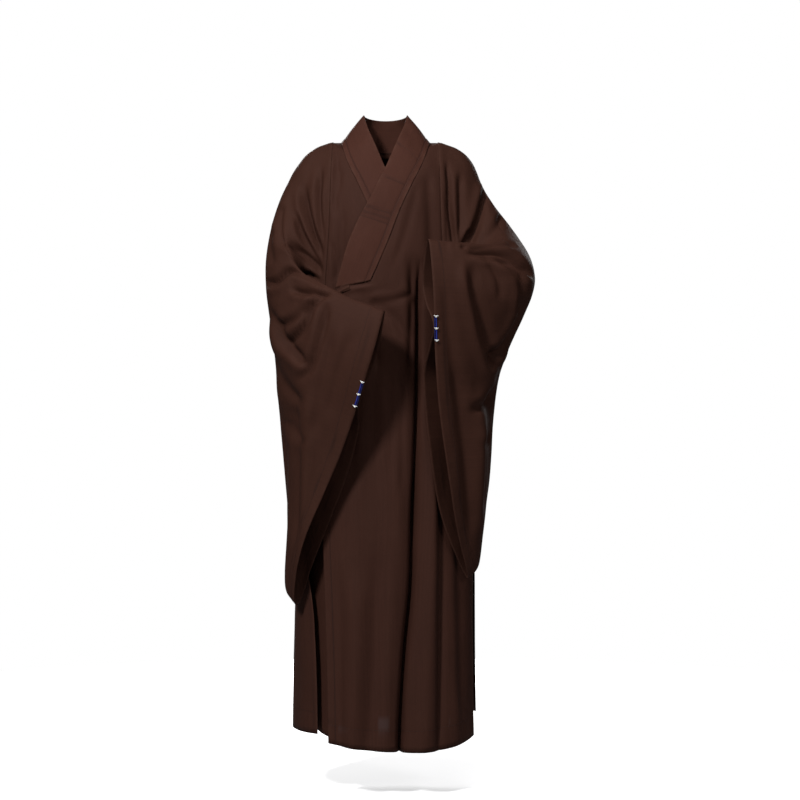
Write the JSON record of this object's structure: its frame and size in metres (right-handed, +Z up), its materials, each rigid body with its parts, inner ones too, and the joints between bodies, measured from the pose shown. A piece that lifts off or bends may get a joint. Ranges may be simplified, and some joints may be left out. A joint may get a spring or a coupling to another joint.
{
  "type": "buddhist monk robe",
  "caption": "Long crossover robe with a wide neckband and very wide open sleeves, hanging as it is worn, hollow and open at neck, cuffs, side vents and hem.",
  "frame": {"origin": "between the shoulders, at the height of the shoulder seams, where a wearer carries the robe", "axes": "+Z up, front of the robe towards -Y, the wearer's left side towards +X"},
  "size_m": [0.5702, 0.4093, 1.3437],
  "materials": {
    "robe_cloth": "matt dark brown crepe",
    "band_cloth": "matt dark brown crepe, several layers stitched together",
    "blue_thread": "wound cotton thread",
    "white_thread": "knotted cotton thread"
  },
  "bodies": {
    "root": {"back": "robe_cloth", "front_over": "robe_cloth", "front_under": "robe_cloth", "neckband": "band_cloth", "sleeve_left": "robe_cloth", "sleeve_right": "robe_cloth", "waist_tie": "robe_cloth", "tack_left": "blue_thread", "tack_left_knot_1": "white_thread", "tack_left_knot_2": "white_thread", "tack_left_knot_3": "white_thread", "tack_right": "blue_thread", "tack_right_knot_1": "white_thread", "tack_right_knot_2": "white_thread", "tack_right_knot_3": "white_thread"}
  },
  "joints": []
}
